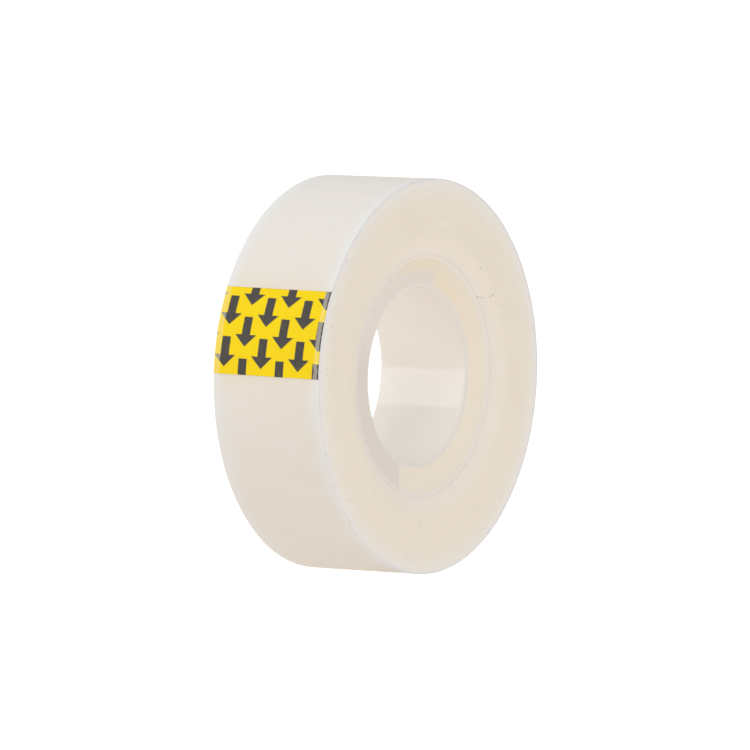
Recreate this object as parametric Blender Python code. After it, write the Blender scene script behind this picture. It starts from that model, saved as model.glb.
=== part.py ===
# A refill roll of clear matte tape on a one-piece moulded core, with a printed pull tab on its
# free end. Frame: metres, origin at the centre of the bore, Y along the roll's axis with the side
# that faces the user at -Y, and Z up. The free end lies on the -X side and points down.

from math import asin, cos, pi, radians, sin

import bmesh
import bpy

# Roll: radii, and widths along the axis.
ROLL_RADIUS = 0.02825
TAPE_WIDTH = 0.018
BORE_RADIUS = 0.0127
CORE_RADIUS = 0.0173

# Core: how far its rim and its bore's mouth lie below the front side of the tape. Its sides are
# shallow cones between the two, and it sits a little behind the tape's middle.
RIM_DEPTH = 0.00112
MOUTH_DEPTH = 0.00198
MOUTH_RADIUS = 0.00035
CORE_MIDDLE = 0.00049

# Wound tape: the innermost turns sit lower, so the sides of the roll dip towards the core, much
# less at the back, where the core is nearly flush.
DIP_RADIUS = 0.0203
DIP_DEPTH = 0.00108
BACK_DIP_DEPTH = 0.00010

# Film: the last turn, and the free end with the tab under it. Real film is thinner.
TURN_THICKNESS = 0.00015
END_THICKNESS = 0.00010
TAB_THICKNESS = 0.00010
LAYER_GAP = 0.00005
CUT_GAP = 0.0003

# Round pieces have one facet per step. The tab spans whole steps, so all layers' facets line up.
STEPS = 98
STEP = 2 * pi / STEPS
TAB_STEPS = 7
TAB_TOP = radians(180 - 28.6)
TAB_BOTTOM = TAB_TOP + TAB_STEPS * STEP

# Each layer starts where the one below it ends, plus the gap that keeps them apart.
TURN_BASE = ROLL_RADIUS - TURN_THICKNESS
WOUND_RADIUS = TURN_BASE - LAYER_GAP
TAB_BASE = TURN_BASE
END_BASE = TAB_BASE + TAB_THICKNESS + LAYER_GAP
END_RADIUS = END_BASE + END_THICKNESS


def material(name, colour, roughness):
    made = bpy.data.materials.new(name)
    made.use_nodes = True
    shader = made.node_tree.nodes["Principled BSDF"]
    shader.inputs["Base Color"].default_value = (*colour, 1)
    shader.inputs["Roughness"].default_value = roughness
    shader.inputs["Metallic"].default_value = 0
    return made


def ring_point(radius, angle, y):
    """A point at this radius, this angle round from +X towards +Z, and this place on the axis."""
    return (radius * cos(angle), y, radius * sin(angle))


def swept_solid(name, outline, angles, closed, surface):
    """Carries an outline of (radius, y) points round the axis, one section per angle.

    A closed sweep joins its last section to its first, and an open one gets a cap at each end.
    """
    mesh = bmesh.new()
    sections = []
    for angle in angles:
        sections.append([mesh.verts.new(ring_point(r, angle, y)) for r, y in outline])
    count = len(outline)
    pairs = list(zip(sections, sections[1:]))
    if closed:
        pairs.append((sections[-1], sections[0]))
    else:
        mesh.faces.new(sections[0])
        mesh.faces.new(sections[-1])
    for here, there in pairs:
        for i in range(count):
            j = (i + 1) % count
            mesh.faces.new((here[i], here[j], there[j], there[i]))
    bmesh.ops.recalc_face_normals(mesh, faces=mesh.faces)
    data = bpy.data.meshes.new(name)
    mesh.to_mesh(data)
    mesh.free()
    data.materials.append(surface)
    data.shade_smooth()
    data.set_sharp_from_angle(angle=radians(30))
    made = bpy.data.objects.new(name, data)
    bpy.context.collection.objects.link(made)
    return made


def arc(centre_r, centre_y, radius, start, end, pieces):
    """Points of a circular arc in the (radius, y) section, both ends included."""
    points = []
    for i in range(pieces + 1):
        angle = start + (end - start) * i / pieces
        points.append((centre_r + radius * cos(angle), centre_y + radius * sin(angle)))
    return points


def both_sides(front, middle=0.0):
    """A whole outline from its half on the -Y side, which runs from the outside inwards."""
    return front + [(r, 2 * middle - y) for r, y in reversed(front)]


def film_outline(inner, outer):
    """Outline of a plain layer of film, as wide as the tape."""
    side = TAPE_WIDTH / 2
    return both_sides([(outer, -side), (inner, -side)])


def core_outline():
    """Outline of the core: its rim, then its coned side, then the rounded mouth of its bore."""
    rim = TAPE_WIDTH / 2 - RIM_DEPTH
    mouth = TAPE_WIDTH / 2 - MOUTH_DEPTH
    centre = BORE_RADIUS + MOUTH_RADIUS
    front = [(CORE_RADIUS, -rim)]
    front += arc(centre, MOUTH_RADIUS - mouth, MOUTH_RADIUS, -pi / 2, -pi, 4)
    return both_sides(front, CORE_MIDDLE)


def dipped_side(depth):
    """A flat side of the wound tape at -Y, then an arc that curves down to the innermost turn."""
    side = TAPE_WIDTH / 2
    reach = DIP_RADIUS - CORE_RADIUS - LAYER_GAP
    radius = (reach**2 + depth**2) / (2 * depth)
    turn = asin(reach / radius)
    flat = [(WOUND_RADIUS, -side)]
    return flat + arc(DIP_RADIUS, radius - side, radius, -pi / 2, -pi / 2 - turn, 4)


def wound_outline():
    """Outline of the wound tape, whose two sides dip by different depths."""
    back = [(r, -y) for r, y in reversed(dipped_side(BACK_DIP_DEPTH))]
    return dipped_side(DIP_DEPTH) + back


def clear_scene():
    for thing in list(bpy.data.objects):
        bpy.data.objects.remove(thing, do_unlink=True)


def full_turn():
    """One angle per step, all the way round, with one of them on the tab's top edge."""
    return [TAB_TOP + i * STEP for i in range(STEPS)]


def core():
    surface = material("core_plastic", (0.72, 0.66, 0.60), 0.35)
    return swept_solid("core", core_outline(), full_turn(), True, surface)


def wound_tape():
    surface = material("wound_tape", (0.80, 0.74, 0.66), 0.55)
    return swept_solid("wound_tape", wound_outline(), full_turn(), True, surface)


def outer_turn():
    """The last turn of film. It stops just short of the tab's two edges."""
    surface = material("matte_film", (0.83, 0.80, 0.76), 0.6)
    gap = CUT_GAP / ROLL_RADIUS
    angles = [TAB_BOTTOM + gap]
    angles += [TAB_BOTTOM + i * STEP for i in range(1, STEPS - TAB_STEPS)]
    angles += [TAB_TOP + 2 * pi - gap]
    outline = film_outline(TURN_BASE, ROLL_RADIUS)
    return swept_solid("outer_turn", outline, angles, False, surface)


def tab_layer(name, inner, outer, surface, hinge):
    """One layer of the free end, whose origin is moved onto the line that it peels from."""
    angles = [TAB_TOP + i * STEP for i in range(TAB_STEPS + 1)]
    made = swept_solid(name, film_outline(inner, outer), angles, False, surface)
    for vertex in made.data.vertices:
        vertex.co -= hinge.location
    made.parent = hinge
    return made


def free_end():
    """The tape's free end and the tab on its sticky side, which peel off the roll together."""
    hinge = bpy.data.objects.new("peel_line", None)
    hinge.empty_display_size = 0.005
    hinge.location = ring_point(END_RADIUS, TAB_TOP, 0)
    bpy.context.collection.objects.link(hinge)
    film = material("free_end_film", (0.83, 0.80, 0.76), 0.5)
    print_ink = material("tab_yellow", (0.91, 0.70, 0.02), 0.4)
    tab_layer("tape_end", END_BASE, END_RADIUS, film, hinge)
    tab_layer("pull_tab", TAB_BASE, TAB_BASE + TAB_THICKNESS, print_ink, hinge)


clear_scene()
core()
wound_tape()
outer_turn()
free_end()
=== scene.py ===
# A refill roll of matte tape with a printed pull tab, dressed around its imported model.
import functools
import math

import bpy
import numpy as np
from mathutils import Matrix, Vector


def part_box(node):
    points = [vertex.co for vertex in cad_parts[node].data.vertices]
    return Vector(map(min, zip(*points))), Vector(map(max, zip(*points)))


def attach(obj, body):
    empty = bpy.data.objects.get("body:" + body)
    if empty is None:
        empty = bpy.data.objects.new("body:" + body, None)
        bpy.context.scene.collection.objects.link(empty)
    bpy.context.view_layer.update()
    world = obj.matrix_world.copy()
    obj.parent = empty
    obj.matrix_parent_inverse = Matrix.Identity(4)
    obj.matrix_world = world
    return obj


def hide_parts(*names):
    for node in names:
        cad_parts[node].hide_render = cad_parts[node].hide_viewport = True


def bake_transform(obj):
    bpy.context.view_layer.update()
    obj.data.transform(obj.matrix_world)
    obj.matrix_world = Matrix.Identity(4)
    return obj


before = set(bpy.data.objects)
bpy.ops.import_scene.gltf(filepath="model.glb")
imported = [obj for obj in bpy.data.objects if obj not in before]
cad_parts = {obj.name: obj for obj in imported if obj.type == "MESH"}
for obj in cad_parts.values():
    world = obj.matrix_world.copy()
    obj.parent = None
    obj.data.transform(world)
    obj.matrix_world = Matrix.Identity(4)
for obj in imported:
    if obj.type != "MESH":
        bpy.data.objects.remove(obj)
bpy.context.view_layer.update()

mm = 0.001
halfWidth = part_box("outer_turn")[1][1]      # of the tape
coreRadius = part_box("core")[1][0]
coreMiddle = (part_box("core")[0][1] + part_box("core")[1][1]) / 2
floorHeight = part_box("outer_turn")[0][2]


# ---- the camera comes first

camera = {
    "azimuth": -56.24,      # degrees round from the front side, towards the pull tab
    "elevation": 4.32,      # degrees above the floor's level
    "distance": 1.351,      # metres from the middle of the bore
    "focalLength": 453.6,   # a long lens, so the circles stay near true ellipses
    "shiftX": -0.0034,
    "shiftY": -0.0015,
}


def makeCamera():
    # eye = distance * (sin a cos e, -cos a cos e, sin e), looking back along that line
    a, e = math.radians(camera["azimuth"]), math.radians(camera["elevation"])
    lens = bpy.data.cameras.new("studioLens")
    lens.lens = camera["focalLength"]
    lens.sensor_width = 36
    lens.shift_x = camera["shiftX"]
    lens.shift_y = camera["shiftY"]
    lens.clip_end = 50
    eye = bpy.data.objects.new("studioCamera", lens)
    eye.location = [
        camera["distance"] * math.sin(a) * math.cos(e),
        -camera["distance"] * math.cos(a) * math.cos(e),
        camera["distance"] * math.sin(e),
    ]
    eye.rotation_euler = (math.pi / 2 - e, 0, a)
    bpy.context.collection.objects.link(eye)
    bpy.context.scene.camera = eye


makeCamera()
print("camera ready")


# ---- small tools

def toLinear(hexColour):
    # sRGB hex to linear: c / 12.92 below 0.04045, else ((c + 0.055) / 1.055) ** 2.4
    c = np.array([int(hexColour[i:i + 2], 16) for i in (1, 3, 5)]) / 255
    c = np.where(c <= 0.04045, c / 12.92, ((c + 0.055) / 1.055) ** 2.4)
    return (*c.tolist(), 1.0)


def addNode(tree, kind, feeds=(), give=0, **settings):
    # one node with its settings: feeds are its inputs, by place or by name, each a socket or a
    # value, and give says which of its outputs to hand back
    made = tree.nodes.new(kind)
    for name, value in settings.items():
        setattr(made, name, value)
    for key, value in (feeds.items() if isinstance(feeds, dict) else enumerate(feeds)):
        if isinstance(value, bpy.types.NodeSocket):
            tree.links.new(value, made.inputs[key])
        else:
            made.inputs[key].default_value = value
    return made.outputs[give]


def newMaterial(name, fixed):
    # a Principled shader whose own sockets hold what is the same all over, and two short calls:
    # node adds a node to it, and feed links a socket to one of the shader's inputs
    made = bpy.data.materials.new(name)
    made.use_nodes = True
    tree = made.node_tree
    shader = tree.nodes["Principled BSDF"]
    for socket, value in fixed.items():
        shader.inputs[socket].default_value = value
    return made, functools.partial(addNode, tree), lambda socket, value: tree.links.new(
        value, shader.inputs[socket])


def rollPlace(node):
    # the place on the piece, its distance from the bore's axis, and its angle round it, from +x
    # towards +z, in degrees
    place = node("ShaderNodeTexCoord", give="Object")
    flat = node("ShaderNodeVectorMath", [place, (1, 0, 1)], operation="MULTIPLY")
    radius = node("ShaderNodeVectorMath", [flat], "Value", operation="LENGTH")
    parts = node("ShaderNodeSeparateXYZ", [place]).node.outputs
    angle = node("ShaderNodeMath", [parts["Z"], parts["X"]], operation="ARCTAN2")
    return place, radius, node("ShaderNodeMath", [angle], operation="DEGREES")


def specks(node, flatPlace, cell, size, share, stretch=1.0, turned=0.0):
    # specks of this size, or hairs with a stretch, one in each of a share of the cells of a flat
    # place: 1 on a speck, else 0
    laid = node("ShaderNodeMapping", {
        "Vector": flatPlace, "Rotation": (0, 0, turned), "Scale": (1, 1 / stretch, 1)})
    cells = node("ShaderNodeTexVoronoi", {"Vector": laid, "Scale": 1 / cell}, "Distance",
                 voronoi_dimensions="2D").node.outputs
    near = node("ShaderNodeMath", [cells["Distance"], size / cell], operation="LESS_THAN")
    chance = node("ShaderNodeSeparateColor", [cells["Color"]])
    chosen = node("ShaderNodeMath", [chance, share], operation="LESS_THAN")
    return node("ShaderNodeMath", [near, chosen], operation="MULTIPLY")


def finishMesh(name, points, quads):
    # arrays of points and quads to an object at the origin, with its faces outwards
    a, b, c, d = (points[quads[:, i]] for i in range(4))
    volume = np.einsum("ij,ij->", a, np.cross(b, c) + np.cross(c, d))
    if volume < 0:
        quads = quads[:, ::-1]
    mesh = bpy.data.meshes.new(name)
    mesh.vertices.add(len(points))
    mesh.vertices.foreach_set("co", points.astype(np.float32).ravel())
    mesh.loops.add(quads.size)
    mesh.loops.foreach_set("vertex_index", quads.astype(np.int32).ravel())
    mesh.polygons.add(len(quads))
    mesh.polygons.foreach_set("loop_start", np.arange(0, quads.size, 4, dtype=np.int32))
    mesh.update(calc_edges=True)
    mesh.validate()
    mesh.shade_smooth()
    mesh.set_sharp_from_angle(angle=math.radians(40))   # smooth but for real corners
    piece = bpy.data.objects.new(name, mesh)
    bpy.context.collection.objects.link(piece)
    return piece


def turnedRing(name, outline, segments):
    # p(a, j) = (r_j cos a, y_j, r_j sin a), with the outline (r, y) joined end to end and a all round
    r, y = outline.T
    a = np.linspace(0, 2 * math.pi, segments, endpoint=False)[:, None]
    points = np.stack([r * np.cos(a), y + 0 * a, r * np.sin(a)], -1).reshape(-1, 3)
    index = np.arange(len(points)).reshape(segments, len(r))
    after = np.roll(index, -1, 0)
    quads = np.stack([index, after, np.roll(after, -1, 1), np.roll(index, -1, 1)], -1)
    return finishMesh(name, points, quads.reshape(-1, 4))


def filmStrip(name, radius, angle, edge, across, thickness, middle=0.0, skew=0.0):
    # A closed sheet of film along the roll. For w from -1 to 1, y = middle + edge_i w and
    # a = angle_i - skew y / radius_i, and the outer face is p(i, w) = (radius_i cos a, y,
    # radius_i sin a). The inner face is thickness nearer the axis. Its UV is (y, arc) in metres.
    w = np.linspace(-1, 1, across)
    y = middle + edge[:, None] * w
    a = angle[:, None] - skew * y / radius[:, None]
    faces = [np.stack([r * np.cos(a), y, r * np.sin(a)], -1).reshape(-1, 3)
             for r in (radius[:, None], radius[:, None] - thickness)]
    index = np.arange(y.size).reshape(y.shape)
    under = index + y.size

    def grid(block):
        return np.stack([block[:-1, :-1], block[1:, :-1], block[1:, 1:], block[:-1, 1:]], -1).reshape(-1, 4)

    def rim(top, bottom):
        return np.stack([top[:-1], top[1:], bottom[1:], bottom[:-1]], -1)

    quads = np.concatenate([
        grid(index), grid(under)[:, ::-1],
        rim(index[:, -1], under[:, -1]), rim(index[:, 0], under[:, 0])[:, ::-1],
        rim(index[0], under[0]), rim(index[-1], under[-1])[:, ::-1],
    ])
    piece = finishMesh(name, np.concatenate(faces), quads)
    steps = np.hypot(np.diff(radius * np.cos(angle)), np.diff(radius * np.sin(angle)))
    arc = np.repeat(np.concatenate([[0], np.cumsum(steps)]), across)
    place = np.tile(np.stack([y.ravel(), arc], -1), (2, 1))
    corner = np.empty(len(piece.data.loops), np.int32)
    piece.data.loops.foreach_get("vertex_index", corner)
    layer = piece.data.uv_layers.new(name="filmPlace")
    layer.data.foreach_set("uv", place[corner].astype(np.float32).ravel())
    return piece


def arcPoints(centre, radius, start, end, count):
    # centre + radius * (cos t, sin t) for t from start to end, in the (r, y) section
    t = np.linspace(start, end, count)
    return np.stack([centre[0] + radius * np.cos(t), centre[1] + radius * np.sin(t)], -1)


def mirrored(front, middle):
    # the half outline on the -y side, then the same points behind, in reverse
    return np.concatenate([front, front[::-1] * (1, -1) + (0, 2 * middle)])


# ---- the moulded core

coreMoulding = {
    "rimDepth": 1.12 * mm,      # below the front side of the tape, where the tape is wound on
    "mouthDepth": 1.98 * mm,    # below the front side of the tape, at the bore
    "mouthRadius": 0.35 * mm,
    "rimRadius": 0.03 * mm,
    "boreRadius": 12.7 * mm,
    "segments": 360,
    "wall": "#f1ebe3",
    "cone": "#e4dbd2",
    "paintedSeeThrough": ("#eddfc8", "#f2e7d5"),     # painted light: the cream of the tape seen through the clear core and reflected in it, on one side
    "paintedSeeThroughTurn": (-112, 75),  # degrees round the core between which it is painted
    "paintedSeeThroughBlur": 0.8,         # degrees, each way, over which its two ends fade
    "rimPale": "#ebe3d8",       # what the painted cream fades to at the rim
    "rimReach": 2.4 * mm,
    "seeThroughTailTurn": (128.0, 88.0),  # degrees between which the painted cream goes on along the rim only
    "seeThroughTailReach": (1.6 * mm, 3.0 * mm),      # from the bore, where that starts and is full
    "flange": "#efe7df",        # the rim's own edge, paler all round
    "flangeReach": (0.62 * mm, 0.42 * mm),  # from the rim, where it starts and is full
    "mouth": "#c8bfb7",         # painted shade on the moulded edge at the bore, which catches less light
    "mouthMiddle": 0.2 * mm,    # from the bore to the middle of that edge
    "mouthReach": (0.26 * mm, 0.16 * mm),   # from its middle, where it starts and is full
    "polish": 0.10,
}


def coreShape():
    # half outline: a small round at the rim, a straight cone, a round at the bore, then the wall
    rim = -(halfWidth - coreMoulding["rimDepth"])
    mouth = -(halfWidth - coreMoulding["mouthDepth"])
    small, large = coreMoulding["rimRadius"], coreMoulding["mouthRadius"]
    inner = coreMoulding["boreRadius"]
    slope = math.atan2(mouth - rim, coreRadius - small - inner - large)
    rimRound = arcPoints((coreRadius - small, rim + small), small, 0, -math.pi / 2 - slope, 7)
    cone = np.linspace(rimRound[-1], (inner + large, mouth), 14)[1:-1]
    boreRound = arcPoints((inner + large, mouth + large), large, -math.pi / 2 - slope, -math.pi, 10)
    wall = np.stack([np.full(8, inner), np.linspace(mouth + large, 0, 9)[1:]], -1)[:-1]
    buried = [(coreRadius, -1.0 * mm), (coreRadius, -4.0 * mm)]     # out of sight, inside the tape
    outline = mirrored(np.concatenate([buried, rimRound, cone, boreRound, wall]), coreMiddle)
    return turnedRing("core_moulding", outline, coreMoulding["segments"])


def mouldedPlastic():
    # Natural polystyrene from a polished mould: milky with a clear gloss, faint flow marks and
    # fine scuffs. On one side a cream sector of painted light stands for the tape seen through the clear core
    # and reflected in it.
    made, node, feed = newMaterial("moulded_polystyrene", {"IOR": 1.55, "Specular IOR Level": 0.5})
    place, radius, turn = rollPlace(node)
    flow = node("ShaderNodeTexNoise", {"Vector": place, "Scale": 1 / (5 * mm), "Detail": 3.0}, "Fac")
    bore = coreMoulding["boreRadius"]
    onCone = node("ShaderNodeMapRange", {
        "Value": radius, "From Min": bore + coreMoulding["mouthRadius"], "From Max": bore + 0.6 * mm},
        "Result")
    wall, cone = toLinear(coreMoulding["wall"]), toLinear(coreMoulding["cone"])
    colour = node("ShaderNodeMix", {0: onCone, 6: wall, 7: cone}, 2, data_type="RGBA")

    # the painted cream sector has straight ends, and goes from deeper to paler round the core
    low, high = coreMoulding["paintedSeeThroughTurn"]
    fromMiddle = node("ShaderNodeMath", [turn, (low + high) / 2], operation="SUBTRACT")
    fromMiddle = node("ShaderNodeMath", [fromMiddle], operation="ABSOLUTE")
    halfSpan, blur = (high - low) / 2, coreMoulding["paintedSeeThroughBlur"]
    seeThroughMask = node("ShaderNodeMapRange", {
        "Value": fromMiddle, "From Min": halfSpan + blur, "From Max": halfSpan - blur}, "Result")
    first, last = (toLinear(c) for c in coreMoulding["paintedSeeThrough"])
    wayRound = node("ShaderNodeMapRange", {"Value": turn, "From Min": high, "From Max": -60.0}, "Result")
    cream = node("ShaderNodeMix", {0: wayRound, 6: first, 7: last}, 2, data_type="RGBA")
    outward = node("ShaderNodeMapRange", {
        "Value": radius, "From Min": coreRadius - coreMoulding["rimReach"], "From Max": coreRadius,
        "To Max": 0.75}, "Result", interpolation_type="SMOOTHSTEP")
    pale = toLinear(coreMoulding["rimPale"])
    cream = node("ShaderNodeMix", {0: outward, 6: cream, 7: pale}, 2, data_type="RGBA")
    seeThroughMask = node("ShaderNodeMath", [seeThroughMask, onCone], operation="MULTIPLY")
    colour = node("ShaderNodeMix", {0: seeThroughMask, 6: colour, 7: cream}, 2, data_type="RGBA")

    # past its upper end the painted cream goes on along the rim only, and less and less
    ended, begun = coreMoulding["seeThroughTailTurn"]
    seeThroughTail = node("ShaderNodeMapRange", {"Value": turn, "From Min": ended, "From Max": begun}, "Result",
                interpolation_type="SMOOTHSTEP")
    starts, full = (bore + reach for reach in coreMoulding["seeThroughTailReach"])
    rimwardPaintedLight = node("ShaderNodeMapRange", {"Value": radius, "From Min": starts, "From Max": full}, "Result",
                   interpolation_type="SMOOTHSTEP")
    pastEnd = node("ShaderNodeMath", [turn, high], operation="GREATER_THAN")
    seeThroughTail = node("ShaderNodeMath", [seeThroughTail, rimwardPaintedLight], operation="MULTIPLY")
    seeThroughTail = node("ShaderNodeMath", [seeThroughTail, pastEnd], operation="MULTIPLY")
    colour = node("ShaderNodeMix", {0: seeThroughTail, 6: colour, 7: first}, 2, data_type="RGBA")

    starts, full = (coreRadius - reach for reach in coreMoulding["flangeReach"])
    flange = node("ShaderNodeMapRange", {
        "Value": radius, "From Min": starts, "From Max": full, "To Max": 0.7}, "Result",
        interpolation_type="SMOOTHSTEP")
    colour = node("ShaderNodeMix", {0: flange, 6: colour, 7: toLinear(coreMoulding["flange"])}, 2,
                  data_type="RGBA")

    # painted shade along the moulded edge at the bore
    mouthShade = node("ShaderNodeMath", [radius, bore + coreMoulding["mouthMiddle"]], operation="SUBTRACT")
    mouthShade = node("ShaderNodeMath", [mouthShade], operation="ABSOLUTE")
    starts, full = coreMoulding["mouthReach"]
    mouthShade = node("ShaderNodeMapRange", {
        "Value": mouthShade, "From Min": starts, "From Max": full, "To Max": 0.22}, "Result")
    offWall = node("ShaderNodeMath", [radius, bore + 0.01 * mm], operation="GREATER_THAN")
    mouthShade = node("ShaderNodeMath", [mouthShade, offWall], operation="MULTIPLY")
    mouth = toLinear(coreMoulding["mouth"])
    colour = node("ShaderNodeMix", {0: mouthShade, 6: colour, 7: mouth}, 2, data_type="RGBA")
    swirl = node("ShaderNodeMapRange", {"Value": flow, "To Min": 0.965, "To Max": 1.0}, "Result")
    swirl = node("ShaderNodeCombineColor", [swirl, swirl, swirl])
    feed("Base Color", node("ShaderNodeMix", {0: 1.0, 6: colour, 7: swirl}, 2, data_type="RGBA",
                            blend_type="MULTIPLY"))

    scuff = node("ShaderNodeTexNoise", {
        "Vector": place, "Scale": 1 / (0.5 * mm), "Detail": 5.0, "Roughness": 0.7}, "Fac")
    feed("Roughness", node("ShaderNodeMapRange", {
        "Value": scuff, "From Min": 0.3, "From Max": 0.7,
        "To Min": coreMoulding["polish"] - 0.04, "To Max": coreMoulding["polish"] + 0.06}, "Result"))
    feed("Normal", node("ShaderNodeBump", {"Strength": 0.03, "Distance": 0.05 * mm, "Height": flow}))
    return made


core = coreShape()
core.data.materials.append(mouldedPlastic())
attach(core, "roll")
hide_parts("core")
print("core ready")


# ---- the wound tape, as its edges show on both sides

woundTape = {
    "outerRadius": 28.17 * mm,
    "side": 8.985 * mm,         # half its width, a hair inside the last turn's edges
    "dipRadius": 20.3 * mm,     # inside this the turns sit lower, down to the core
    "dipDepth": (1.08 * mm, 0.10 * mm),    # how far below, at the front and at the back
    "wander": 0.012 * mm,       # how far groups of turns stand out of line
    "segments": 360,
    "body": "#eee4d5",
    "edge": "#edeae6",
    "cornerHighlightBand": (24.4 * mm, 28.4 * mm),     # radii between which a painted highlight makes the turns paler towards the outer corner
    "inner": "#efe6dc",
    "innerBand": (20.2 * mm, 18.0 * mm),    # radii between which they take the inner colour
    "fineRing": 0.15 * mm,
    "broadRing": 0.8 * mm,
    "dust": "#6a543c",
    # a cell's size, a speck's size and the share of cells that have one, then stretch and turn
    "specks": (4.8 * mm, 0.085 * mm, 0.4),
    "hairs": ((3.8 * mm, 0.042 * mm, 0.30, 8.0, 0.7), (4.3 * mm, 0.042 * mm, 0.30, 7.0, 2.3)),
    "dirtRadius": 27.55 * mm,   # dirt has caught along a line that wanders out from here
    "dirtDrift": 0.9 * mm,
    "dirtTurn": -160.0,         # where round the roll there is most of it
}


def woundSide(depth, seed):
    # one side, seen from -y: y(r) = -side + dip(r) + step(r), where dip grows as the 1.4th power of the
    # way in from dipRadius, and step is a fixed random run of small offsets, one per group of
    # turns, which dies away in the outermost turns
    inner, outer = coreRadius - 0.01 * mm, woundTape["outerRadius"]
    r = np.linspace(outer, inner, 110)
    reach = np.clip((woundTape["dipRadius"] - r) / (woundTape["dipRadius"] - inner), 0, 1)
    step = np.random.default_rng(seed).normal(0, 1, len(r))
    step = np.abs(np.convolve(step, [0.25, 0.5, 0.25], "same")) * woundTape["wander"]
    step = step * np.clip((outer - r) / (0.8 * mm), 0, 1)
    return np.stack([r, -woundTape["side"] + depth * reach ** 1.4 + step], -1)


def woundShape():
    # the outer face, the front side, the hidden inner face, and the back side turned round
    front, back = (woundSide(depth, seed) for depth, seed in zip(woundTape["dipDepth"], (7, 11)))
    outline = np.concatenate([front, back[::-1] * (1, -1)])
    return turnedRing("wound_tape_edges", outline, woundTape["segments"])


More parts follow.
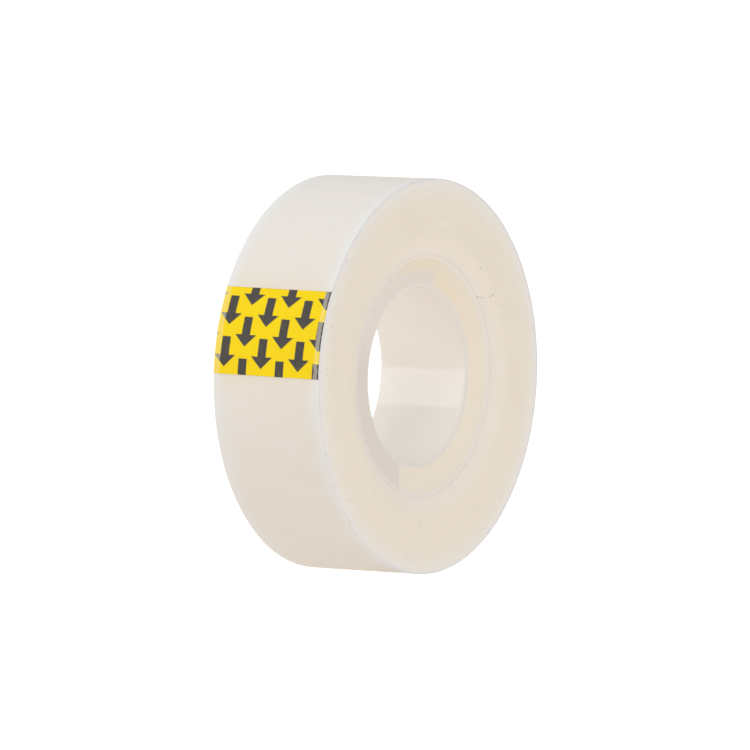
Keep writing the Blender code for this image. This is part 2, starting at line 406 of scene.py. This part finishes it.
def woundEdges():
    # Acetate film and acrylic adhesive, slit and wound: cream, as adhesive shows between the
    # layers, with rings of uneven tone, a paler band of painted highlight in the outermost turns, where
    # light comes through, and some dust on the sticky edges. The rings are drawn 0.15 to 0.8 mm wide,
    # because single turns of 0.048 mm are too fine to show.
    made, node, feed = newMaterial("slit_tape_edges", {
        "IOR": 1.48, "Subsurface Weight": 0.3, "Subsurface Scale": 1.0 * mm,
        "Subsurface Radius": (1.0, 0.8, 0.55), "Specular IOR Level": 0.35,
    })
    place, radius, turn = rollPlace(node)
    wobble = node("ShaderNodeTexNoise", {"Vector": place, "Scale": 1 / (9 * mm), "Detail": 2.0}, "Fac")
    ringPlace = node("ShaderNodeMath", [wobble, 0.25 * mm, radius], operation="MULTIPLY_ADD")
    cloud = node("ShaderNodeTexNoise", {"Vector": place, "Scale": 1 / (7 * mm), "Detail": 3.0}, "Fac")
    fine = node("ShaderNodeTexNoise", {
        "W": ringPlace, "Scale": 1 / woundTape["fineRing"], "Detail": 3.0, "Roughness": 0.7}, "Fac",
        noise_dimensions="1D")
    broad = node("ShaderNodeTexNoise", {
        "W": ringPlace, "Scale": 1 / woundTape["broadRing"], "Detail": 2.0, "Roughness": 0.6}, "Fac",
        noise_dimensions="1D")
    rings = node("ShaderNodeMath", [fine, 0.45], operation="MULTIPLY")
    rings = node("ShaderNodeMath", [broad, 0.3, rings], operation="MULTIPLY_ADD")
    rings = node("ShaderNodeMath", [cloud, 0.25, rings], operation="MULTIPLY_ADD")
    rings = node("ShaderNodeMapRange", {"Value": rings, "From Min": 0.36, "From Max": 0.64}, "Result")
    body = toLinear(woundTape["body"])
    darker = tuple(c * k for c, k in zip(body, (0.97, 0.96, 0.935, 1)))
    lighter = tuple(min(c * k, 1) for c, k in zip(body, (1.01, 1.015, 1.02, 1)))
    colour = node("ShaderNodeMix", {0: rings, 6: darker, 7: lighter}, 2, data_type="RGBA")

    # painted highlight: the turns grow paler towards the roll's outer corner
    starts, full = woundTape["cornerHighlightBand"]
    outer = node("ShaderNodeMapRange", {"Value": radius, "From Min": starts, "From Max": full}, "Result")
    outer = node("ShaderNodeMath", [outer, 1.4], operation="POWER")
    colour = node("ShaderNodeMix", {0: outer, 6: colour, 7: toLinear(woundTape["edge"])}, 2,
                  data_type="RGBA")
    starts, full = woundTape["innerBand"]
    nearCore = node("ShaderNodeMapRange", {
        "Value": radius, "From Min": starts, "From Max": full, "To Max": 0.7}, "Result",
        interpolation_type="SMOOTHSTEP")
    colour = node("ShaderNodeMix", {0: nearCore, 6: colour, 7: toLinear(woundTape["inner"])}, 2,
                  data_type="RGBA")

    # the two sides read the same flat pattern at places far apart, so their dust differs
    x, y, z = node("ShaderNodeSeparateXYZ", [place]).node.outputs
    sideways = node("ShaderNodeMath", [y, 3.0, x], operation="MULTIPLY_ADD")
    flatPlace = node("ShaderNodeCombineXYZ", [sideways, z])
    curl = node("ShaderNodeTexNoise", {"Vector": flatPlace, "Scale": 1 / (1.2 * mm), "Detail": 1.0}, "Color")
    curled = node("ShaderNodeVectorMath", [curl, (0.7 * mm,) * 3, flatPlace], operation="MULTIPLY_ADD")
    dust = specks(node, curled, *woundTape["specks"])
    hairs, crossing = (specks(node, curled, *lay) for lay in woundTape["hairs"])
    dust = node("ShaderNodeMath", [dust, 0.55], operation="MULTIPLY")
    hairs = node("ShaderNodeMath", [hairs, crossing], operation="MAXIMUM")
    hairs = node("ShaderNodeMath", [hairs, 0.45], operation="MULTIPLY")
    dirt = node("ShaderNodeMath", [dust, hairs], operation="MAXIMUM")

    # dirt has caught along part of the outer corner, in short dashes: it shows where one noise
    # round the roll runs high, along a line whose radius another noise moves; both noises are in
    # degrees, and make dashes of about 1 mm and bends of about 3 mm
    dashes = node("ShaderNodeTexNoise", {
        "W": turn, "Scale": 0.55, "Detail": 3.0, "Roughness": 0.7}, "Fac", noise_dimensions="1D")
    dashes = node("ShaderNodeMapRange", {"Value": dashes, "From Min": 0.60, "From Max": 0.66}, "Result")
    drift = node("ShaderNodeTexNoise", {"W": turn, "Scale": 0.16, "Detail": 3.0}, "Fac",
                 noise_dimensions="1D")
    drift = node("ShaderNodeMath", [drift, woundTape["dirtDrift"], woundTape["dirtRadius"]],
                 operation="MULTIPLY_ADD")
    drift = node("ShaderNodeMath", [radius, drift], operation="SUBTRACT")
    drift = node("ShaderNodeMath", [drift], operation="ABSOLUTE")
    caught = node("ShaderNodeMapRange", {
        "Value": drift, "From Min": 0.10 * mm, "From Max": 0.03 * mm, "To Max": 0.6}, "Result")
    fromWorst = node("ShaderNodeMath", [turn, woundTape["dirtTurn"]], operation="SUBTRACT")
    fromWorst = node("ShaderNodeMath", [fromWorst], operation="ABSOLUTE")
    worst = node("ShaderNodeMapRange", {"Value": fromWorst, "From Min": 40.0, "From Max": 15.0}, "Result")
    caught = node("ShaderNodeMath", [caught, dashes], operation="MULTIPLY")
    caught = node("ShaderNodeMath", [caught, worst], operation="MULTIPLY")
    dirt = node("ShaderNodeMath", [dirt, caught], operation="MAXIMUM")
    colour = node("ShaderNodeMix", {0: dirt, 6: colour, 7: toLinear(woundTape["dust"])}, 2,
                  data_type="RGBA")
    feed("Base Color", colour)
    feed("Roughness", node("ShaderNodeMapRange", {
        "Value": broad, "From Min": 0.3, "From Max": 0.7, "To Min": 0.42, "To Max": 0.58}, "Result"))
    feed("Normal", node("ShaderNodeBump", {"Strength": 0.22, "Distance": 0.02 * mm, "Height": fine}))
    return made


wound = woundShape()
wound.data.materials.append(woundEdges())
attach(wound, "roll")
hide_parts("wound_tape")
print("wound tape ready")


# ---- the last turn of film, which ends up under its own start

lastTurn = {
    "tabTop": 180 - 28.6,       # degrees round from +x towards +z, where the tab's upper edge is
    "tabSpan": 7 * 360 / 98,    # degrees of the roll that the tab covers
    "skew": 0.0113,             # how far the cut and the tab are off square, about 0.65 degrees
    "thickness": 0.05 * mm,
    "start": 28.24 * mm,        # outer radius beside the tab's upper edge, without the tab's lift
    "finish": 28.18 * mm,       # outer radius under the tab, one turn later
    "lift": 0.06 * mm,          # how far the tab under it holds the film up
    "liftReach": 3.0 * mm,
    "wander": 0.015 * mm,       # how far its edges stray inwards
    "steps": (481, 61),         # points along it and across it
    "milk": "#dcd6ce",
    "edge": "#dbdad7",
    "cornerHighlightBand": (6.4 * mm, 9.0 * mm),       # from the tape's middle, where the painted corner highlight starts and is full
    # painted yellow light that the tab throws on the film beside it
    "tabBleedLight": "#d9cbb2",
    "tabBleedReach": 2.2 * mm,      # painted yellow light from the tab spreads this far into the milky film
    "grit": 0.12 * mm,          # the matte tooth is finer than this, and is drawn as coarse as shows
}


def lastTurnShape():
    # r(s) = start + (finish - start) s + lift (1 - d / liftReach)^2 near the tab, with s the share
    # of the turn that has passed and d the arc from the tab's upper edge
    along, across = lastTurn["steps"]
    s = np.linspace(0, 1, along)
    angle = math.radians(lastTurn["tabTop"]) - 2 * math.pi * s
    arc = s * 2 * math.pi * lastTurn["start"]
    radius = lastTurn["start"] + (lastTurn["finish"] - lastTurn["start"]) * s
    radius = radius + lastTurn["lift"] * np.clip(1 - arc / lastTurn["liftReach"], 0, 1) ** 2
    edge = halfWidth - lastTurn["wander"] * (0.5 + 0.5 * np.sin(7 * angle + 1.3) * np.cos(3 * angle))
    return filmStrip("last_turn_film", radius, angle, edge, across, lastTurn["thickness"],
                     skew=lastTurn["skew"])


def matteTooth(node, feed, smoothest, roughest):
    # the fine tooth of matte film: a noise that sets its roughness and a very slight bump
    place = node("ShaderNodeTexCoord", give="Object")
    tooth = node("ShaderNodeTexNoise", {
        "Vector": place, "Scale": 1 / lastTurn["grit"], "Detail": 3.0, "Roughness": 0.6}, "Fac")
    feed("Roughness", node("ShaderNodeMapRange", {
        "Value": tooth, "From Min": 0.3, "From Max": 0.7, "To Min": smoothest, "To Max": roughest}, "Result"))
    feed("Normal", node("ShaderNodeBump", {"Strength": 0.12, "Distance": 0.01 * mm, "Height": tooth}))


def matteFilm():
    # Matte acetate film on the roll: milky, with a very fine even tooth, faint cloudy bands across
    # it where it lies more or less close to the turn below, fainter casting lines along it, a painted
    # highlight that makes it paler and cooler at its two edges, and painted yellow light from the tab
    # beside it.
    made, node, feed = newMaterial("matte_acetate_film", {"IOR": 1.48, "Specular IOR Level": 0.4})
    film = node("ShaderNodeUVMap", uv_map="filmPlace")
    across, along = node("ShaderNodeSeparateXYZ", [film]).node.outputs[:2]
    milk = toLinear(lastTurn["milk"])
    warm = tuple(c * k for c, k in zip(milk, (0.985, 0.97, 0.95, 1)))
    laid = node("ShaderNodeMapping", {"Vector": film, "Scale": (0.35, 1, 1)})
    cloud = node("ShaderNodeTexNoise", {
        "Vector": laid, "Scale": 1 / (3.5 * mm), "Detail": 4.0, "Roughness": 0.6}, "Fac")
    casting = node("ShaderNodeTexNoise", {
        "W": across, "Scale": 1 / (0.9 * mm), "Detail": 3.0, "Roughness": 0.6}, "Fac", noise_dimensions="1D")
    streaks = node("ShaderNodeMath", [casting, 0.2], operation="MULTIPLY")
    streaks = node("ShaderNodeMath", [cloud, 0.8, streaks], operation="MULTIPLY_ADD")
    streaks = node("ShaderNodeMapRange", {"Value": streaks, "From Min": 0.36, "From Max": 0.64}, "Result")
    colour = node("ShaderNodeMix", {0: streaks, 6: warm, 7: milk}, 2, data_type="RGBA")

    fromMiddle = node("ShaderNodeMath", [across], operation="ABSOLUTE")
    # painted highlight: paler and cooler towards the film's two edges
    starts, full = lastTurn["cornerHighlightBand"]
    rimwardPaintedLight = node("ShaderNodeMapRange", {
        "Value": fromMiddle, "From Min": starts, "From Max": full, "To Max": 0.85}, "Result",
        interpolation_type="SMOOTHSTEP")
    colour = node("ShaderNodeMix", {0: rimwardPaintedLight, 6: colour, 7: toLinear(lastTurn["edge"])}, 2,
                  data_type="RGBA")

    # painted yellow light from the tab: strength * exp(-distance from the tab / reach), above the tab and
    # below it
    turnLength = 2 * math.pi * lastTurn["start"]
    tabLength = math.radians(lastTurn["tabSpan"]) * lastTurn["start"]
    below = node("ShaderNodeMath", [turnLength - tabLength, along], operation="SUBTRACT")
    below = node("ShaderNodeMath", [below], operation="ABSOLUTE")
    away = node("ShaderNodeMath", [along, below], operation="MINIMUM")
    away = node("ShaderNodeMath", [away, -1 / lastTurn["tabBleedReach"]], operation="MULTIPLY")
    tabBleedLight = node("ShaderNodeMath", [away], operation="EXPONENT")
    inward = node("ShaderNodeMapRange", {
        "Value": fromMiddle, "From Min": 8.9 * mm, "From Max": 7.0 * mm, "To Max": 0.55}, "Result")
    tabBleedLight = node("ShaderNodeMath", [tabBleedLight, inward], operation="MULTIPLY")
    colour = node("ShaderNodeMix", {0: tabBleedLight, 6: colour, 7: toLinear(lastTurn["tabBleedLight"])}, 2, data_type="RGBA")
    feed("Base Color", colour)
    matteTooth(node, feed, 0.5, 0.62)
    return made


turnFilm = lastTurnShape()
turnFilm.data.materials.append(matteFilm())
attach(turnFilm, "roll")
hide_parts("outer_turn")
print("last turn ready")


# ---- the printed tab on the sticky side of the tape's free end, and the film over it

pullTab = {
    "outerRadius": 28.25 * mm,
    "thickness": 0.05 * mm,
    "filmRadius": 28.31 * mm,
    "filmThickness": 0.045 * mm,
    "halfWidth": 8.87 * mm,
    "middle": 0.07 * mm,        # the tab sits this far to the back of the tape's middle
    "columnPitch": 6.3 * mm,    # between two arrows side by side
    "rowPitch": 6.0 * mm,       # between two arrows in a column; the next column is half a row off
    "firstTip": (-7.15 * mm, 5.65 * mm),   # one arrow's point: across the tab, and down from its top
    "printTurn": (0.022, 0.0127),          # the print's slant on the film, down and across it
    "headWidth": 3.6 * mm,
    "headHeight": 1.72 * mm,
    "length": 4.3 * mm,
    "stemWidth": 1.42 * mm,
    "yellow": "#edce00",
    "ink": "#45413e",
    "backMargin": 0.95 * mm,    # strips along both sides where the film hasn't gripped the print
    "frontMargin": 0.82 * mm,
    "gripped": 0.15 * mm,       # the front side's own edge, which has gripped again
    "milk": "#ebe4d8",
    "haze": (0.16, 0.33),       # how much of that milk lies over those strips' yellow and ink
    "steps": (61, 41),          # points along it and across it
    "bend": 4.0 * mm,           # length of film that curls as the tab is peeled
}


def tabArcs(radius):
    # the free end's angles from the tab's upper edge to its lower edge, and its radius
    top = math.radians(lastTurn["tabTop"])
    angle = np.linspace(top, top + math.radians(lastTurn["tabSpan"]), pullTab["steps"][0])
    return np.full(len(angle), radius), angle, np.full(len(angle), pullTab["halfWidth"])


def arrowRows(node, across, along, tipAcross, tipAlong):
    # 1 inside arrows that point down, laid in a grid: a is the place across one arrow and b the
    # height above its point; head |a| < b * headWidth / (2 headHeight), stem |a| < stemWidth / 2,
    # which starts a little inside the head, so that no gap shows
    column, row = pullTab["columnPitch"], pullTab["rowPitch"]
    a = node("ShaderNodeMath", [across, tipAcross - column / 2], operation="SUBTRACT")
    a = node("ShaderNodeMath", [a, column], operation="FLOORED_MODULO")
    a = node("ShaderNodeMath", [a, column / 2], operation="SUBTRACT")
    a = node("ShaderNodeMath", [a], operation="ABSOLUTE")
    b = node("ShaderNodeMath", [tipAlong, along], operation="SUBTRACT")
    b = node("ShaderNodeMath", [b, row], operation="FLOORED_MODULO")
    spread = pullTab["headWidth"] / 2 / pullTab["headHeight"]
    slant = node("ShaderNodeMath", [b, spread], operation="MULTIPLY")
    head = node("ShaderNodeMath", [a, slant], operation="LESS_THAN")
    low = node("ShaderNodeMath", [b, pullTab["headHeight"]], operation="LESS_THAN")
    head = node("ShaderNodeMath", [head, low], operation="MULTIPLY")
    stem = node("ShaderNodeMath", [a, pullTab["stemWidth"] / 2], operation="LESS_THAN")
    above = node("ShaderNodeMath", [b, pullTab["headHeight"] - 0.02 * mm], operation="GREATER_THAN")
    ended = node("ShaderNodeMath", [b, pullTab["length"]], operation="LESS_THAN")
    stem = node("ShaderNodeMath", [stem, above], operation="MULTIPLY")
    stem = node("ShaderNodeMath", [stem, ended], operation="MULTIPLY")
    return node("ShaderNodeMath", [head, stem], operation="MAXIMUM")


def printedFilm():
    # Yellow film with dark ink, printed by the roll: strong flat colours, pinholes in the ink, and
    # a slightly uneven lay of colour. Along both sides it shows paler through film with no grip.
    made, node, feed = newMaterial("printed_film", {"IOR": 1.5, "Specular IOR Level": 0.04})
    place = node("ShaderNodeTexCoord", give="Object")
    film = node("ShaderNodeUVMap", uv_map="filmPlace")
    side, down = node("ShaderNodeSeparateXYZ", [film]).node.outputs[:2]
    side = node("ShaderNodeMath", [side, -1.0], operation="MULTIPLY")
    tipAcross, tipAlong = pullTab["firstTip"]
    slantDown, slantAcross = pullTab["printTurn"]
    across = node("ShaderNodeMath", [down, slantDown, -slantDown * tipAlong], operation="MULTIPLY_ADD")
    across = node("ShaderNodeMath", [side, across], operation="ADD")
    along = node("ShaderNodeMath", [side, -slantAcross, slantAcross * tipAcross], operation="MULTIPLY_ADD")
    along = node("ShaderNodeMath", [down, along], operation="ADD")
    nextAcross, nextAlong = tipAcross + pullTab["columnPitch"] / 2, tipAlong + pullTab["rowPitch"] / 2
    arrows = node("ShaderNodeMath", [
        arrowRows(node, across, along, tipAcross, tipAlong),
        arrowRows(node, across, along, nextAcross, nextAlong),
    ], operation="MAXIMUM")

    cloud = node("ShaderNodeTexNoise", {"Vector": place, "Scale": 1 / (3 * mm), "Detail": 3.0}, "Fac")
    lay = node("ShaderNodeMapRange", {"Value": cloud, "From Min": 0.3, "From Max": 0.7}, "Result")
    yellow, ink = toLinear(pullTab["yellow"]), toLinear(pullTab["ink"])
    deep = tuple(c * k for c, k in zip(yellow, (0.98, 0.96, 0.95, 1)))
    faded = tuple(c * k for c, k in zip(ink, (1.12, 1.12, 1.12, 1)))
    ground = node("ShaderNodeMix", {0: lay, 6: deep, 7: yellow}, 2, data_type="RGBA")
    printed = node("ShaderNodeMix", {0: lay, 6: ink, 7: faded}, 2, data_type="RGBA")
    pinholes = specks(node, film, 1.1 * mm, 0.06 * mm, 0.3)
    pinholes = node("ShaderNodeMath", [pinholes, -0.5, 1.0], operation="MULTIPLY_ADD")
    inked = node("ShaderNodeMath", [arrows, pinholes], operation="MULTIPLY")
    colour = node("ShaderNodeMix", {0: inked, 6: ground, 7: printed}, 2, data_type="RGBA")

    ragged = node("ShaderNodeTexNoise", {
        "W": down, "Scale": 1 / (0.8 * mm), "Detail": 3.0}, "Fac", noise_dimensions="1D")
    ragged = node("ShaderNodeMapRange", {
        "Value": ragged, "From Min": 0.3, "From Max": 0.7, "To Min": -0.07 * mm, "To Max": 0.07 * mm},
        "Result")
    wavering = node("ShaderNodeMath", [side, ragged], operation="ADD")
    back = pullTab["halfWidth"] + pullTab["middle"] - pullTab["backMargin"]
    front = pullTab["halfWidth"] - pullTab["middle"]
    loose = node("ShaderNodeMath", [wavering, -back], operation="LESS_THAN")
    started = node("ShaderNodeMath", [wavering, front - pullTab["frontMargin"]], operation="GREATER_THAN")
    stopped = node("ShaderNodeMath", [wavering, front - pullTab["gripped"]], operation="LESS_THAN")
    started = node("ShaderNodeMath", [started, stopped], operation="MULTIPLY")
    loose = node("ShaderNodeMath", [loose, started], operation="MAXIMUM")
    onYellow, onInk = pullTab["haze"]
    hazed = node("ShaderNodeMath", [inked, onInk - onYellow, onYellow], operation="MULTIPLY_ADD")
    loose = node("ShaderNodeMath", [loose, hazed], operation="MULTIPLY")
    colour = node("ShaderNodeMix", {0: loose, 6: colour, 7: toLinear(pullTab["milk"])}, 2, data_type="RGBA")
    feed("Base Color", colour)
    feed("Roughness", node("ShaderNodeMapRange", {
        "Value": cloud, "From Min": 0.3, "From Max": 0.7, "To Min": 0.38, "To Max": 0.52}, "Result"))
    grain = node("ShaderNodeTexNoise", {
        "Vector": place, "Scale": 1 / (0.15 * mm), "Detail": 2.0, "Roughness": 0.6}, "Fac")
    feed("Normal", node("ShaderNodeBump", {"Strength": 0.08, "Distance": 0.01 * mm, "Height": grain}))
    return made


def clearedFilm():
    # The same matte film where it has wetted out on the tab: its tooth is filled from below, so it
    # is nearly clear and adds hardly any shine.
    made, node, feed = newMaterial("wetted_acetate_film", {
        "IOR": 1.48, "Base Color": toLinear("#d8d4cc"), "Alpha": 0.01,
    })
    matteTooth(node, feed, 0.4, 0.55)
    return made


def peelWithTab(piece, cadNode):
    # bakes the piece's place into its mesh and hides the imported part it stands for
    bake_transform(piece)
    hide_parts(cadNode)


tab = filmStrip("printed_pull_tab", *tabArcs(pullTab["outerRadius"]), pullTab["steps"][1],
                pullTab["thickness"], pullTab["middle"], lastTurn["skew"])
tab.data.materials.append(printedFilm())
peelWithTab(tab, "pull_tab")
freeFilm = filmStrip("free_end_film", *tabArcs(pullTab["filmRadius"]), pullTab["steps"][1],
                     pullTab["filmThickness"], pullTab["middle"], lastTurn["skew"])
freeFilm.data.materials.append(clearedFilm())
peelWithTab(freeFilm, "tape_end")
print("tab and free end ready")


# ---- the studio

studio = {
    "floorSize": 12.0,
    "floorColour": "#7c7872",
    "floorLight": "#fbf6f1",    # the floor is lit from below, as a product table is
    "floorGlow": (0.87, 1.20),  # how brightly, towards the roll and towards the lens
    "sky": "#f4f7fb",
    "skyStrength": 0.90,
    "panelPower": 4.0,          # watts from each square metre of a panel whose brightness is 1
    "card": (0.26, 0.60, 0.30),     # a grey card that takes some light from the +x side:
    "cardColour": "#cccac8",        # its distance, width and height
}

panels = {
    # azimuth from the front towards +x, elevation, distance, width, height, brightness, colour
    "keyPanel": (-85, 64, 0.9, 0.50, 0.50, 1.95, "#ffffff"),
    "backPanel": (-128, 15.8, 0.3, 0.11, 0.22, 1.08, "#ffffff"),
}


def stagePlate(name, corners, place, material):
    # one flat face for the studio, with its corners in order
    mesh = bpy.data.meshes.new(name)
    mesh.from_pydata(corners, [], [(0, 1, 2, 3)])
    mesh.materials.append(material)
    plate = bpy.data.objects.new(name, mesh)
    plate.location = place
    bpy.context.collection.objects.link(plate)
    return plate


def makeSky():
    scene = bpy.context.scene
    scene.view_settings.view_transform = "Standard"
    world = bpy.data.worlds.new("studioSky")
    world.use_nodes = True
    sky = world.node_tree.nodes["Background"]
    sky.inputs["Color"].default_value = toLinear(studio["sky"])
    sky.inputs["Strength"].default_value = studio["skyStrength"]
    scene.world = world


def makeFloor():
    # a square, a hair below the roll
    half = studio["floorSize"] / 2
    made, node, feed = newMaterial("plain_floor", {
        "Base Color": toLinear(studio["floorColour"]), "Roughness": 0.9, "Specular IOR Level": 0.0,
        "Emission Color": toLinear(studio["floorLight"]),
    })
    toRoll, toLens = studio["floorGlow"]
    seen = node("ShaderNodeLightPath", give="Is Camera Ray")
    feed("Emission Strength", node("ShaderNodeMapRange", {
        "Value": seen, "To Min": toRoll, "To Max": toLens}, "Result"))
    corners = [(-half, -half, 0), (half, -half, 0), (half, half, 0), (-half, half, 0)]
    floor = stagePlate("studio_floor", corners, (0, 0, floorHeight - 0.02 * mm), made)


def makeCard():
    # an upright oblong that faces the roll, out of the lens's sight
    away, width, height = studio["card"]
    made = newMaterial("grey_card", {"Base Color": toLinear(studio["cardColour"]), "Roughness": 0.9})[0]
    corners = [(0, -width / 2, 0), (0, width / 2, 0), (0, width / 2, height), (0, -width / 2, height)]
    card = stagePlate("studio_card", corners, (away, 0, floorHeight), made)
    card.visible_camera = False


def makePanel(name, azimuth, elevation, distance, width, height, brightness, colour):
    # centre = distance * (sin a cos e, -cos a cos e, sin e), facing the roll
    a, e = math.radians(azimuth), math.radians(elevation)
    light = bpy.data.lights.new(name, "AREA")
    light.shape = "RECTANGLE"
    light.size, light.size_y = width, height
    light.energy = brightness * studio["panelPower"] * width * height
    light.color = toLinear(colour)[:3]
    lamp = bpy.data.objects.new(name, light)
    lamp.location = [distance * math.sin(a) * math.cos(e), -distance * math.cos(a) * math.cos(e),
                     distance * math.sin(e)]
    lamp.rotation_euler = (math.pi / 2 - e, 0, a)
    lamp.visible_camera = False
    bpy.context.collection.objects.link(lamp)


makeSky()
makeFloor()
makeCard()
for name, values in panels.items():
    makePanel(name, *values)
print("studio ready")
